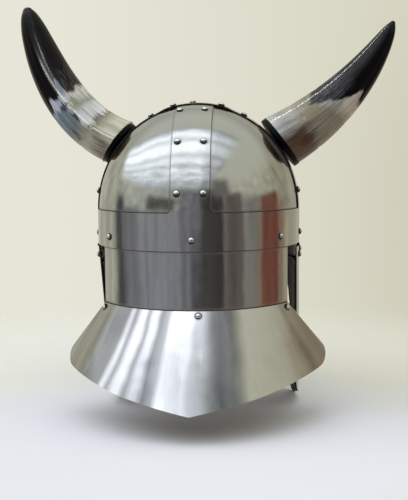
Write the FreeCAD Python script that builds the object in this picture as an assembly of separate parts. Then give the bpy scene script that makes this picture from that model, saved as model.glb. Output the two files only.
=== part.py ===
import FreeCAD, Part
import math
import os

# Horned helmet of riveted steel sheet, in millimetres.
# +Z is up, +Y is the way the wearer looks and +X is the wearer's right.
# The origin is the middle of the brow rim, the plane in which the helmet sits on a head.

# Sheet, layers and clearances
sheet = 1.2
layer_gap = 0.1
hole_gap = 0.05
seam_gap = 1.0
overrun = 12.0

# Skull
half_width = 103.0
half_length = 118.0
crown_rise = 105.5
band_height = 35.0
strap_width = 36.0
strap_offset = -1.2
window_corner = 4.0
ear_strap_width = 40.0
crank_start = 28.5
crank_length = 12.0
crank_count = 16
side_count = 8
plate_tuck = 11.0

# Rivets: a row across the centre strap has its climb up from the rear of the brow and its shift to the left
head_radius = 3.3
head_height = 2.6
shank_radius = 1.6
peen_radius = 2.6
peen_height = 0.9
strap_rivet_spread = 12.2
crank_rivet_offset = 24.0
shoulder_rivet_offset = 47.0
band_rivet_height = 10.4
strap_rivet_rows = ((10.0, 0.0), (38.9, 0.5), (68.5, 1.8), (110.0, 0.0), (140.0, 0.0), (170.0, 0.0))
crown_rivet_offset = -5.0
ear_rivet_climb = 10.0

# Neck defence
nape_height = 55.0
nape_side_setback = 13.5
nape_rivet_inset = 7.2
nape_tuck = 20.0
nape_lip = 10.0
flare_angle = 33.4
flare_drop = 84.5
flare_left_spread = 41.5
flare_right_spread = 44.0
flare_side_drop = 54.5
flare_tip_radius = 9.0
flare_bow = 2.0
flare_bow_radius = 160.0
flare_rivet_inset = 4.5
flare_rivet_setback = 3.0
flare_middle_rivet_angle = 3.2

# Cheek plates
cheek_gap = 3.4
cheek_length = 166.0
cheek_rear = 31.0
cheek_front = 52.0
cheek_corner = 12.0
cheek_hollow = 110.0
cheek_shoulder = 60.0
cheek_rest_angle = 4.5
jaw_rise_share = 0.125
chin_share = 0.9
hollow_share = 0.64
hollow_rise_share = 0.45
shoulder_rise_share = 0.8
lining_margin = 3.5
lining_leather = 2.0

# Cheek hinges
hinge_middle = -6.0
hinge_half_length = 12.0
barrel_radius = 1.5
pin_radius = 0.8
pin_end_radius = 1.2
pin_end_height = 0.5
leaf_sheet = 0.7
leaf_height = 15.5
knuckle_gap = 0.2
cheek_rivet_spread = 8.0
cheek_rivet_drops = (11.8, 7.6)

# Nose guard
nasal_sheet = 1.8
nasal_drop = 64.0
nasal_lean = 6.0
nasal_top_width = 44.0
nasal_waist_width = 24.0
nasal_tip_width = 34.0
nasal_corner = 8.0
nasal_rivet_spread = 12.0

# Horns
horn_wall = 4.5
horn_root = 8.0
disc_thickness = 5.0
disc_edge = 0.8
plug_gap = 0.2
screw_radius = 3.0
screw_head_radius = 5.4
screw_head_height = 4.0
screw_reach = 26.0
washer_radius = 12.0
washer_thickness = 1.5

# Leather liner
leather = 2.2
liner_inset = 2.9
liner_low = 2.5
liner_top = 30.0
liner_crown = 80.0
liner_slot = 5.0
liner_eye = 18.0
lace_radius = 1.5
lace_ring = 23.0
burr_radius = 4.6
burr_thickness = 0.8

# Each horn: side, disc tilt, disc place forward of the ear, base radius, length, headings at root and tip,
# share of the bend that comes early, turn toward the face, radius shares at the station shares
# of its length, and the slope at which its side meets the ball at its tip.
station_shares = (0.0, 0.1, 0.2, 0.3, 0.4, 0.5, 0.6, 0.7, 0.8, 0.9, 0.94, 0.97, 1.0)
left_radius_shares = (1.0, 1.0, 0.985, 0.97, 0.94, 0.895, 0.835, 0.76, 0.655, 0.51, 0.42, 0.33, 0.19)
right_radius_shares = (1.0, 0.96, 0.915, 0.865, 0.8, 0.73, 0.645, 0.55, 0.44, 0.31, 0.245, 0.175, 0.08)
horns = {
    "left": {
        "side": -1,
        "tilt": 37.5,
        "forward": 13.0,
        "radius": 24.2,
        "length": 174.0,
        "root_heading": 17.1,
        "tip_heading": 72.6,
        "early_bend_share": 0.94,
        "forward_turn": 6.0,
        "radius_shares": left_radius_shares,
        "tip_slope": 36.0,
    },
    "right": {
        "side": 1,
        "tilt": 37.0,
        "forward": 7.0,
        "radius": 28.8,
        "length": 167.0,
        "root_heading": 27.4,
        "tip_heading": 64.6,
        "early_bend_share": -0.075,
        "forward_turn": 3.5,
        "radius_shares": right_radius_shares,
        "tip_slope": 27.0,
    },
}
horn_steps = 200
cavity_share = 0.4
plug_share = 0.2

V = FreeCAD.Vector
up = V(0, 0, 1)
wide = half_width + half_length
tall = band_height + crown_rise + flare_drop + nape_height
nape_half_width = half_width - nape_side_setback


def oval(inset, z):
    """Wire of the helmet's oval plan, drawn in by inset, at height z."""
    x_end = V(half_width - inset, 0, z)
    y_end = V(0, half_length - inset, z)
    ends = (x_end, y_end)
    if half_length > half_width:
        ends = (y_end, x_end)
    return Part.Wire(Part.Ellipse(ends[0], ends[1], V(0, 0, z)).toShape())


def wall(inset, low, high):
    """Solid column with the oval plan between two heights."""
    return Part.Face(oval(inset, low)).extrude(V(0, 0, high - low))


def dome(inset, base, rise):
    """Half ball stretched to the oval plan, drawn in by inset, and to its own rise."""
    radius = half_width - inset
    stretch = FreeCAD.Matrix()
    stretch.scale(1, (half_length - inset) / radius, rise / radius)
    half = Part.makeSphere(radius, V(0, 0, 0), up, 0, 90, 360).transformGeometry(stretch)
    half.translate(V(0, 0, base))
    return half


def skull(inset, low):
    """Solid of the helmet bowl, drawn in by inset, down to the height low."""
    return wall(inset, low, band_height).fuse(dome(inset, band_height, crown_rise - inset))


def skull_shell(inset, thickness, low):
    """Bowl of one sheet, its outer face drawn in by inset."""
    return skull(inset, low).cut(skull(inset + thickness, low - overrun))


def wall_shell(inset, thickness, low, high):
    """Upright oval ring of one sheet."""
    return wall(inset, low, high).cut(wall(inset + thickness, low - overrun, high + overrun))


def flared_shell(inset, thickness, top, drop, angle):
    """Sheet that spreads outward by angle as it goes down from the height top."""
    slope = math.tan(math.radians(angle))
    level = thickness / math.cos(math.radians(angle))
    solids = []
    for depth, reach in ((inset, 0), (inset + level, overrun)):
        high = oval(depth + reach * slope, top + reach)
        low = oval(depth - (drop + reach) * slope, top - drop - reach)
        solids.append(Part.makeLoft([high, low], True, True))
    return solids[0].cut(solids[1])


def block(x_ends, y_ends, z_ends):
    """Box between three pairs of limits."""
    size = [ends[1] - ends[0] for ends in (x_ends, y_ends, z_ends)]
    return Part.makeBox(size[0], size[1], size[2], V(x_ends[0], y_ends[0], z_ends[0]))


def plate_blank(corners, place, sweep):
    """Solid swept from a flat outline whose corners (u, v, radius) are rounded."""
    count = len(corners)
    cuts = []
    for i in range(count):
        here = V(corners[i][0], corners[i][1], 0)
        before = V(corners[i - 1][0], corners[i - 1][1], 0) - here
        after = V(corners[(i + 1) % count][0], corners[(i + 1) % count][1], 0) - here
        before.normalize()
        after.normalize()
        half_angle = before.getAngle(after) / 2
        radius = corners[i][2]
        inward = before + after
        inward.normalize()
        run = radius / math.tan(half_angle)
        middle = here + inward * (radius / math.sin(half_angle) - radius)
        cuts.append((here + before * run, middle, here + after * run, radius))
    edges = []
    for i in range(count):
        first, middle, last, radius = cuts[i]
        if radius > 0:
            arc = Part.Arc(place(first.x, first.y), place(middle.x, middle.y), place(last.x, last.y))
            edges.append(arc.toShape())
        following = cuts[(i + 1) % count][0]
        edges.append(Part.makeLine(place(last.x, last.y), place(following.x, following.y)))
    return Part.Face(Part.Wire(edges)).extrude(sweep)


def surface_spot(x, y, z):
    """Point on the bowl and the outward direction of the sheet there."""
    normal = V(x / half_width ** 2, y / half_length ** 2, (z - band_height) / crown_rise ** 2)
    normal.normalize()
    return V(x, y, z), normal


def strap_spot(x, climb):
    """Spot on the centre strap, climb degrees up from the rear of the brow."""
    reach = math.sqrt(1 - (x / half_width) ** 2)
    y = -half_length * reach * math.cos(math.radians(climb))
    z = band_height + crown_rise * reach * math.sin(math.radians(climb))
    return surface_spot(x, y, z)


def ear_strap_lift(x):
    """Height of the ear strap over the bowl: it climbs over the centre strap and the rivets beside it."""
    full = sheet + layer_gap
    away = (abs(x - strap_offset) - crank_start) / crank_length
    share = min(max(1 - away, 0), 1)
    return full * share * share * (3 - 2 * share)


def ear_strap_spot(x, y):
    """Spot on the ear strap, x to the side and y forward of its middle line."""
    reach = math.sqrt(1 - (y / half_length) ** 2)
    z = band_height + crown_rise * math.sqrt(reach ** 2 - (x / half_width) ** 2)
    point, normal = surface_spot(x, y, z)
    return point + normal * (ear_strap_lift(x) + layer_gap), normal


def band_spot(angle, z):
    """Spot on the brow band, angle degrees round from the rear."""
    x = half_width * math.sin(math.radians(angle))
    y = -half_length * math.cos(math.radians(angle))
    point, normal = surface_spot(x, y, band_height)
    return V(x, y, z), normal


def side_spot(side, y, z):
    """Spot on the side of the oval plan, y forward of the ear."""
    x = side * half_width * math.sqrt(1 - (y / half_length) ** 2)
    point, normal = surface_spot(x, y, band_height)
    return V(x, y, z), normal


def flare_spot(angle, down):
    """Spot on the neck flare, down the slope from its top edge."""
    tilt = math.radians(flare_angle)
    point, normal = band_spot(angle, -nape_height)
    point = point + normal * (down * math.sin(tilt)) - up * (down * math.cos(tilt))
    return point, normal * math.cos(tilt) + up * math.sin(tilt)


def along(spot, shape):
    """Shape drawn about +Z, moved so that +Z leaves the spot outward."""
    shape.Placement = FreeCAD.Placement(spot[0], FreeCAD.Rotation(up, spot[1]))
    return shape


def rivet(spot, grip):
    """Round-headed rivet through a stack that is grip thick."""
    dome_middle = V(head_radius * math.sin(math.pi / 4), 0, head_height * math.cos(math.pi / 4))
    head = Part.Arc(V(0, 0, head_height), dome_middle, V(head_radius, 0, 0)).toShape()
    low = -grip - peen_height
    rest = Part.makePolygon([
        V(head_radius, 0, 0),
        V(shank_radius, 0, 0),
        V(shank_radius, 0, -grip),
        V(peen_radius, 0, -grip),
        V(shank_radius, 0, low),
        V(0, 0, low),
        V(0, 0, head_height),
    ])
    face = Part.Face(Part.Wire([head] + rest.Edges))
    solid = face.revolve(V(0, 0, 0), up, 360)
    return along(spot, solid)


def rivets(spots, grip):
    """Group of rivets through stacks of one thickness."""
    return Part.makeCompound([rivet(spot, grip) for spot in spots])


def drill(shape, spots, radius=shank_radius + hole_gap):
    """Shape with a round hole along each spot's direction."""
    for spot in spots:
        hole = Part.makeCylinder(radius, 2 * overrun, V(0, 0, -overrun))
        shape = shape.cut(along(spot, hole))
    return shape


def rod(radius, start, direction, length):
    """Round bar from start."""
    return Part.makeCylinder(radius, length, start, direction)


nodes = {}

# Rivet places
double_grip = 2 * sheet + 2 * layer_gap
liner_depth = liner_inset + leather + layer_gap
band_grip = liner_depth + burr_thickness + layer_gap
strap_spots = []
for climb, shift in strap_rivet_rows:
    for x in (-strap_rivet_spread, strap_rivet_spread):
        strap_spots.append(strap_spot(strap_offset + x - shift, climb))
ear_rivet_offset = half_width * math.cos(math.radians(ear_rivet_climb))
ear_reach = math.sqrt(1 - (strap_rivet_spread / half_length) ** 2)
ear_strap_spots = []
for reach in (crank_rivet_offset, shoulder_rivet_offset, ear_rivet_offset * ear_reach):
    for side in (-1, 1):
        for y in (-strap_rivet_spread, strap_rivet_spread):
            ear_strap_spots.append(ear_strap_spot(side * reach, y))
crown_spot = ear_strap_spot(crown_rivet_offset, 0)
band_angle = math.degrees(math.asin((nape_half_width - nape_rivet_inset) / half_width))
band_angles = (0, band_angle, -band_angle, 180 - band_angle, band_angle - 180)
band_spots = [band_spot(angle, band_rivet_height) for angle in band_angles]
hinge_spots = {}
cheek_spots = {}
for name, horn in horns.items():
    side = horn["side"]
    hinge_spots[name] = side_spot(side, hinge_middle, band_rivet_height)
    cheek_spots[name] = []
    for turn, drop in zip((-1, 1), cheek_rivet_drops):
        cheek_spots[name].append(side_spot(side, hinge_middle + turn * cheek_rivet_spread, -drop))
nasal_spots = []
for x in (-nasal_rivet_spread, nasal_rivet_spread):
    y = half_length * math.sqrt(1 - (x / half_width) ** 2)
    point, normal = surface_spot(x, y, band_height)
    nasal_spots.append((V(x, y, band_rivet_height), normal))
flare_angle_out = math.degrees(math.asin((nape_half_width - flare_rivet_setback) / half_width))
flare_angles = (-flare_angle_out, flare_middle_rivet_angle, flare_angle_out)
flare_spots = [flare_spot(angle, flare_rivet_inset) for angle in flare_angles]

# Where each horn's disc stands: the middle of its inner face and its outward direction
for horn in horns.values():
    climb = math.atan(math.tan(math.radians(horn["tilt"])) * crown_rise / half_width)
    reach = math.sqrt(1 - (horn["forward"] / half_length) ** 2)
    x = horn["side"] * half_width * reach * math.cos(climb)
    z = band_height + crown_rise * reach * math.sin(climb)
    point, horn["out"] = surface_spot(x, horn["forward"], z)
    horn["seat"] = point + horn["out"] * layer_gap
    horn["base"] = horn["seat"] + horn["out"] * disc_thickness
horn_spots = [(horn["seat"], horn["out"]) for horn in horns.values()]

# Brow band and centre strap: one welded piece, open between strap and band
band = skull_shell(0, sheet, 0)
for side in (-1, 1):
    edge = strap_width / 2 + side * strap_offset
    window = plate_blank(
        [
            (edge, band_height, window_corner),
            (wide, band_height, 0),
            (wide, tall, 0),
            (edge, tall, 0),
        ],
        lambda u, v: V(side * u, -wide, v),
        V(0, 2 * wide, 0),
    )
    band = band.cut(window)
band_holes = strap_spots + [crown_spot] + band_spots + list(hinge_spots.values()) + nasal_spots
nodes["brow_band"] = drill(band, band_holes)

# Ear-to-ear strap: a bent strip whose sections are lofted from ear to ear
ear_sections = []
half_strap = ear_strap_width / 2
crank_steps = range(-crank_count, crank_count + 1)
crank_reach = crank_start + crank_length
crank_turns = [math.asin((strap_offset + crank_reach * i / crank_count) / half_width) for i in crank_steps]
side_shares = [(i + 1) / side_count for i in range(side_count)]
left_turns = [crank_turns[0] - (math.pi / 2 + crank_turns[0]) * share for share in side_shares]
right_turns = [crank_turns[-1] + (math.pi / 2 - crank_turns[-1]) * share for share in side_shares]
for turn in left_turns[::-1] + crank_turns + right_turns:
    out = V(math.sin(turn) / half_width, 0, math.cos(turn) / crown_rise)
    out.normalize()
    lift = ear_strap_lift(half_width * math.sin(turn))
    rims = []
    for depth in (0, sheet):
        points = []
        for y in (-half_strap, 0, half_strap):
            reach = math.sqrt(1 - (y / (half_length - depth)) ** 2)
            x = (half_width - depth) * reach * math.sin(turn)
            z = band_height + (crown_rise - depth) * reach * math.cos(turn)
            points.append(V(x, y, z) + out * lift)
        rims.append(points)
    outer, inner = rims
    ear_sections.append(Part.Wire([
        Part.Arc(outer[0], outer[1], outer[2]).toShape(),
        Part.makeLine(outer[2], inner[2]),
        Part.Arc(inner[2], inner[1], inner[0]).toShape(),
        Part.makeLine(inner[0], outer[0]),
    ]))
ear_strap = Part.makeLoft(ear_sections, True, False)
ear_strap = drill(ear_strap, ear_strap_spots + [crown_spot])
nodes["ear_strap"] = drill(ear_strap, horn_spots, screw_radius + hole_gap)

# Four bowl plates under the straps
bowl = skull_shell(sheet + layer_gap, sheet, band_height - plate_tuck)
for y_name, y_side in (("rear", -1), ("front", 1)):
    for x_name, x_side in (("left", -1), ("right", 1)):
        x_ends = sorted((x_side * seam_gap / 2, x_side * wide))
        y_ends = sorted((y_side * seam_gap / 2, y_side * wide))
        plate = bowl.common(block(x_ends, y_ends, (0, tall)))
        plate = drill(plate, strap_spots + ear_strap_spots + [crown_spot])
        plate = drill(plate, horn_spots, screw_radius + hole_gap)
        nodes["%s_%s_bowl_plate" % (y_name, x_name)] = plate

# Nape plate: hangs inside the band and ends in a lip that follows the flare
nape_inset = sheet + layer_gap
nape = wall_shell(nape_inset, sheet, -nape_height, nape_tuck)
nape_box = block((-nape_half_width, nape_half_width), (-wide, 0), (-tall, tall))
lip_inset = nape_inset / math.cos(math.radians(flare_angle))
lip = flared_shell(lip_inset, sheet, -nape_height, nape_lip, flare_angle)
nape = nape.common(nape_box).fuse(lip.common(nape_box))
nodes["nape_plate"] = drill(nape, band_spots[:3] + flare_spots)

# Neck flare: a fan-shaped plate, pointed at the middle of its lower edge
flare = flared_shell(0, sheet, -nape_height, flare_drop + overrun, flare_angle)
flare_low = -nape_height - flare_drop
flare_side = -nape_height - flare_side_drop
flare_left_reach = nape_half_width + flare_left_spread
flare_right_reach = nape_half_width + flare_right_spread
bow_height = (flare_low + flare_side) / 2 - flare_bow
flare_blank = plate_blank(
    [
        (-nape_half_width, -nape_height, 0),
        (-flare_left_reach, flare_side, flare_tip_radius),
        (-flare_left_reach / 2, bow_height, flare_bow_radius),
        (0, flare_low, 0),
        (flare_right_reach / 2, bow_height, flare_bow_radius),
        (flare_right_reach, flare_side, flare_tip_radius),
        (nape_half_width, -nape_height, 0),
    ],
    lambda u, v: V(u, 0, v),
    V(0, -2 * wide, 0),
)
nodes["neck_flare"] = drill(flare.common(flare_blank), flare_spots)

# Nose guard: lies on the band and leans forward below it
nasal = wall_shell(-nasal_sheet - layer_gap, nasal_sheet, 0, band_height)
lean = flared_shell(-nasal_sheet - layer_gap, nasal_sheet, 0, nasal_drop + overrun, nasal_lean)
nasal_blank = plate_blank(
    [
        (-nasal_top_width / 2, band_height - sheet, nasal_corner / 2),
        (-nasal_top_width / 2, sheet, nasal_corner),
        (-nasal_waist_width / 2, -nasal_corner, nasal_corner),
        (-nasal_tip_width / 2, -nasal_drop, nasal_corner),
        (nasal_tip_width / 2, -nasal_drop, nasal_corner),
        (nasal_waist_width / 2, -nasal_corner, nasal_corner),
        (nasal_top_width / 2, sheet, nasal_corner),
        (nasal_top_width / 2, band_height - sheet, nasal_corner / 2),
    ],
    lambda u, v: V(u, 0, v),
    V(0, 2 * wide, 0),
)
nodes["nasal_guard"] = drill(nasal.fuse(lean).common(nasal_blank), nasal_spots)

# Cheek plates, their hinges and linings
axis_x = half_width - barrel_radius
axis_z = -cheek_gap / 2
cheek_low = -cheek_gap - cheek_length
knuckle = 2 * hinge_half_length / 3
hinge_start = hinge_middle - hinge_half_length
knuckle_ends = [hinge_start + knuckle * i for i in range(4)]


def cheek_blank(side, margin, top):
    """Outline of a cheek plate seen from its side, drawn in by margin."""
    rear = -cheek_rear + margin
    front = cheek_front - margin
    low = cheek_low + margin
    length = cheek_length - 2 * margin
    return plate_blank(
        [
            (rear, top, 0),
            (rear, low + jaw_rise_share * length, cheek_corner),
            (chin_share * front, low, cheek_corner),
            (hollow_share * front, low + hollow_rise_share * length, cheek_hollow),
            (front, low + shoulder_rise_share * length, cheek_shoulder),
            (front, top, 0),
        ],
        lambda u, v: V(0, u, v),
        V(side * wide, 0, 0),
    )


def barrel(axis, first, last, radius):
    """Round bar on a hinge axis between two places along it."""
    return rod(radius, axis + V(0, first, 0), V(0, 1, 0), last - first)


def leaf(axis, low, high, own, other):
    """Hinge leaf with knuckles on its own places, clear of the other leaf's."""
    ring = wall_shell(sheet + layer_gap, leaf_sheet, low, high)
    x_ends = sorted((0, 2 * axis.x))
    y_ends = (hinge_start + knuckle_gap / 2, knuckle_ends[3] - knuckle_gap / 2)
    body = ring.common(block(x_ends, y_ends, (low, high)))
    for i in own:
        first = knuckle_ends[i] + knuckle_gap / 2
        last = knuckle_ends[i + 1] - knuckle_gap / 2
        body = body.fuse(barrel(axis, first, last, barrel_radius))
    for i in other:
        first = knuckle_ends[i] - knuckle_gap / 2
        last = knuckle_ends[i + 1] + knuckle_gap / 2
        body = body.cut(barrel(axis, first, last, barrel_radius + knuckle_gap))
    return body.cut(barrel(axis, -wide, wide, pin_radius + hole_gap))


for name, horn in horns.items():
    side = horn["side"]
    axis = V(side * axis_x, 0, axis_z)
    band_leaf = leaf(axis, axis_z, leaf_height, (0, 2), (1,))
    nodes[name + "_band_leaf"] = drill(band_leaf, [hinge_spots[name]])
    pin = barrel(axis, hinge_start, knuckle_ends[3], pin_radius)
    for first in (hinge_start - pin_end_height, knuckle_ends[3]):
        pin = pin.fuse(barrel(axis, first, first + pin_end_height, pin_end_radius))
    nodes[name + "_hinge_pin"] = pin

    cheek_leaf = leaf(axis, -leaf_height, axis_z, (1,), (0, 2))
    cheek_leaf = drill(cheek_leaf, cheek_spots[name])
    cheek = wall_shell(0, sheet, cheek_low - overrun, -cheek_gap)
    cheek = drill(cheek.common(cheek_blank(side, 0, overrun)), cheek_spots[name])
    lining = wall_shell(sheet + layer_gap, lining_leather, cheek_low, -leaf_height - lining_margin)
    lining = lining.common(cheek_blank(side, lining_margin, overrun))
    leaf_grip = sheet + leaf_sheet + 2 * layer_gap
    swinging = {
        name + "_cheek_plate": cheek,
        name + "_cheek_leaf": cheek_leaf,
        name + "_cheek_lining": lining,
        name + "_cheek_rivets": rivets(cheek_spots[name], leaf_grip),
    }
    for node, shape in swinging.items():
        if name == "left":
            shape.rotate(axis, V(0, 1, 0), side * cheek_rest_angle)
        nodes[node] = shape

# Horns with their discs, plugs, screws and washers


def horn_stations(horn):
    """Middle, heading and radius at each station, walked along the curved middle line."""
    forward = math.radians(horn["forward_turn"])
    level = V(horn["side"] * math.cos(forward), math.sin(forward), 0)
    total = horn["length"] + horn_root
    bend = horn["tip_heading"] - horn["root_heading"]

    def heading(share):
        turned = share + horn["early_bend_share"] * share * (1 - share)
        angle = math.radians(horn["root_heading"] + bend * turned)
        return level * math.cos(angle) + up * math.sin(angle)

    point = horn["base"] - heading(0) * horn_root
    path = [point]
    for step in range(horn_steps):
        point = point + heading((step + 0.5) / horn_steps) * (total / horn_steps)
        path.append(point)
    stations = []
    for share, radius_share in zip(station_shares, horn["radius_shares"]):
        middle = path[round(share * horn_steps)]
        stations.append((share, middle, heading(share), radius_share * horn["radius"]))
    return stations, level


def horn_loft(horn, inset, last_share):
    """Solid through the horn's rings, drawn in by inset, up to a share of its length."""
    stations, level = horn_stations(horn)
    across = level.cross(up)
    rings = []
    for share, middle, ahead, radius in stations:
        if share > last_share:
            break
        outward = across.cross(ahead)
        reach = radius - inset
        ends = [middle + across * reach, middle - across * reach]
        top = Part.Arc(ends[0], middle + outward * reach, ends[1]).toShape()
        low = Part.Arc(ends[1], middle - outward * reach, ends[0]).toShape()
        rings.append(Part.Wire([top, low]))
    solid = Part.makeLoft(rings, True, False)
    below = rod(2 * horn["radius"], horn["base"], horn["out"] * -1, 2 * horn["radius"])
    return solid.cut(below)


for name, horn in horns.items():
    spot = (horn["seat"], horn["out"])
    outer = horn_loft(horn, 0, 1)
    stations, level = horn_stations(horn)
    share, tip, ahead, tip_radius = stations[-1]
    slope = math.radians(horn["tip_slope"])
    ball = Part.makeSphere(tip_radius / math.cos(slope), tip - ahead * (tip_radius * math.tan(slope)))
    outer = outer.fuse(ball)
    nodes[name + "_horn"] = outer.cut(horn_loft(horn, horn_wall, cavity_share))
    plug = horn_loft(horn, horn_wall + plug_gap, plug_share)
    screw_end = disc_thickness + screw_reach
    screw_hole = rod(screw_radius + hole_gap, horn["seat"], horn["out"], screw_end + hole_gap)
    nodes[name + "_horn_plug"] = plug.cut(screw_hole)
    disc = rod(horn["radius"], horn["seat"], horn["out"], disc_thickness)
    disc = disc.makeFillet(disc_edge, disc.Edges)
    nodes[name + "_base_disc"] = disc.cut(screw_hole)

    bowl_depth = 2 * sheet + 2 * layer_gap
    bowl_radius = half_width - bowl_depth
    washer_sag = bowl_radius - math.sqrt(bowl_radius ** 2 - washer_radius ** 2)
    washer_place = horn["seat"] - horn["out"] * (layer_gap + bowl_depth + washer_sag)
    washer = rod(washer_radius, washer_place, horn["out"] * -1, washer_thickness)
    washer = washer.cut(rod(screw_radius + hole_gap, washer_place, horn["out"] * -1, washer_thickness))
    nodes[name + "_horn_washer"] = washer
    head_place = washer_place - horn["out"] * (washer_thickness + layer_gap)
    shank_length = (horn["seat"] - head_place).Length + screw_end
    hexagon = Part.makePolygon([
        V(screw_head_radius * math.cos(i * math.pi / 3), screw_head_radius * math.sin(i * math.pi / 3), 0)
        for i in range(7)
    ])
    head = Part.Face(hexagon).extrude(V(0, 0, -screw_head_height))
    shank = Part.makeCylinder(screw_radius, shank_length)
    nodes[name + "_horn_screw"] = along((head_place, horn["out"]), head.fuse(shank))

# Leather liner: a band riveted inside the brow, with tongues laced at the crown
liner = wall_shell(liner_inset, leather, liner_low, liner_top)
crown = dome(liner_inset, liner_top, liner_crown)
crown = crown.cut(dome(liner_inset + leather, liner_top, liner_crown - leather))
slot_low = liner_top + liner_slot
for turn in (0, 45, 90, 135):
    slot = block((-wide, wide), (-liner_slot / 2, liner_slot / 2), (slot_low, tall))
    slot.rotate(V(0, 0, 0), up, turn + 45 / 2)
    crown = crown.cut(slot)
crown = crown.cut(rod(liner_eye, V(0, 0, slot_low), up, tall))
liner = liner.fuse(crown)
liner_spots = band_spots + list(hinge_spots.values()) + nasal_spots
nodes["leather_liner"] = drill(liner, liner_spots)
lace_share = math.sqrt(1 - (lace_ring / (half_length - liner_inset)) ** 2)
lace_height = liner_top + liner_crown * lace_share + lace_radius + layer_gap
nodes["crown_lace"] = Part.makeTorus(lace_ring, lace_radius, V(0, 0, lace_height))

burrs = []
for point, normal in liner_spots:
    burr = rod(burr_radius, point - normal * liner_depth, normal * -1, burr_thickness)
    burrs.append(drill(burr, [(point, normal)]))
nodes["liner_burrs"] = Part.makeCompound(burrs)

# Rivets
nodes["strap_rivets"] = rivets(strap_spots, double_grip)
ear_grips = [layer_gap + double_grip + ear_strap_lift(point.x) for point, normal in ear_strap_spots]
nodes["ear_strap_rivets"] = Part.makeCompound(list(map(rivet, ear_strap_spots, ear_grips)))
nodes["crown_rivet"] = rivet(crown_spot, double_grip + sheet + 2 * layer_gap)
nodes["band_rivets"] = rivets(band_spots, band_grip)
nodes["hinge_rivets"] = rivets(hinge_spots.values(), band_grip)
nasal_seats = [(point + normal * (nasal_sheet + layer_gap), normal) for point, normal in nasal_spots]
nodes["nasal_rivets"] = rivets(nasal_seats, band_grip + nasal_sheet + layer_gap)
nodes["flare_rivets"] = rivets(flare_spots, double_grip)

os.makedirs("parts", exist_ok=True)
for node, shape in nodes.items():
    shape.exportStep("parts/%s.step" % node)
    print(node, len(shape.Solids), shape.isValid(), round(shape.Volume))
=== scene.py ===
import math

import bpy
import numpy as np
from mathutils import Matrix, Quaternion, Vector


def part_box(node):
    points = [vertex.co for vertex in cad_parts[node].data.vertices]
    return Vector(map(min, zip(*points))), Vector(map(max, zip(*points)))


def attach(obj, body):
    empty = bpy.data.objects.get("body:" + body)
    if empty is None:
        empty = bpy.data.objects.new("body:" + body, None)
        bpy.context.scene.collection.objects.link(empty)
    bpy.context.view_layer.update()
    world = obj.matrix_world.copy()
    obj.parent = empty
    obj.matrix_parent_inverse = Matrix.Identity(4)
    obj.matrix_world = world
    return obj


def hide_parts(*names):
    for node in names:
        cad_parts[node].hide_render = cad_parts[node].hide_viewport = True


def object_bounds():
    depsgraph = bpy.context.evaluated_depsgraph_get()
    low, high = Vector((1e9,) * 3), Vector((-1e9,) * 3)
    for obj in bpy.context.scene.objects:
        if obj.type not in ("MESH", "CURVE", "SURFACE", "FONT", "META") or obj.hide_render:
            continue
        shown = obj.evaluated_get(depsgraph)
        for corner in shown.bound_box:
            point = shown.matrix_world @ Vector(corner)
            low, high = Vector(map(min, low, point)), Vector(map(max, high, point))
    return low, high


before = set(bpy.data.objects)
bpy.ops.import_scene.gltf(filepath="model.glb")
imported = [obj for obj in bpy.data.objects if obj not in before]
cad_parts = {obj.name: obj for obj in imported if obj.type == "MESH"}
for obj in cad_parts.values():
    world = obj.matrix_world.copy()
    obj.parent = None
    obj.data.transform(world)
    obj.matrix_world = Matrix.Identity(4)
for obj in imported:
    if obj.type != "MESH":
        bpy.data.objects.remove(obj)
cad_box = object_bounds()
scene = bpy.context.scene
scene.view_settings.view_transform = "Standard"

# Camera. It stands one metre behind the helmet, a little above the brow, with a long lens, and is
# rolled by less than half a degree.
eye = Vector((0.0610, -0.9993, 0.0846))
aim = Vector((0.00499, 0, -0.00932))
camera_data = bpy.data.cameras.new("camera")
camera_data.lens = 69.93
camera_data.sensor_width = 36
camera = bpy.data.objects.new("camera", camera_data)
scene.collection.objects.link(camera)
camera.location = eye
camera.rotation_mode = "QUATERNION"
camera.rotation_quaternion = (aim - eye).to_track_quat("-Z", "Y") @ Quaternion((0, 0, 1), math.radians(-0.43))
scene.camera = camera


def linear(hex_colour):
    """Linear RGBA of an sRGB hex colour: a power of 2.4 above the straight foot of the curve."""
    parts = [int(hex_colour[i:i + 2], 16) / 255 for i in (1, 3, 5)]
    return tuple(c / 12.92 if c <= 0.04045 else ((c + 0.055) / 1.055) ** 2.4 for c in parts) + (1,)


def add(tree, kind, sockets=None, stops=None, out=0, **settings):
    """Add one shader node with its settings, its ramp's stops, and its sockets set or linked.

    A tuple fills the sockets in order, which for MapRange are the value, its old ends and its new ends.
    Returns the output that out gives, or all outputs where it is None.
    """
    made = tree.nodes.new("ShaderNode" + kind)
    for name, value in settings.items():
        setattr(made, name, value)
    for i, (place, shade) in enumerate(stops or ()):
        elements = made.color_ramp.elements
        element = elements[i] if i < 2 else elements.new(place)
        element.position = place
        element.color = shade
    for key, value in sockets.items() if isinstance(sockets, dict) else enumerate(sockets or ()):
        if isinstance(value, bpy.types.NodeSocket):
            tree.links.new(value, made.inputs[key])
        else:
            made.inputs[key].default_value = value
    return made.outputs if out is None else made.outputs[out]


smooth = {"interpolation_type": "SMOOTHSTEP"}


def new_material(name):
    """Node material that is still empty, and its tree."""
    made = bpy.data.materials.new(name)
    made.use_nodes = True
    made.node_tree.nodes.clear()
    return made, made.node_tree


def coat(material, *nodes):
    """Give the named CAD nodes one material in all their slots."""
    for node in nodes:
        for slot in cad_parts[node].material_slots:
            slot.material = material


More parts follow.
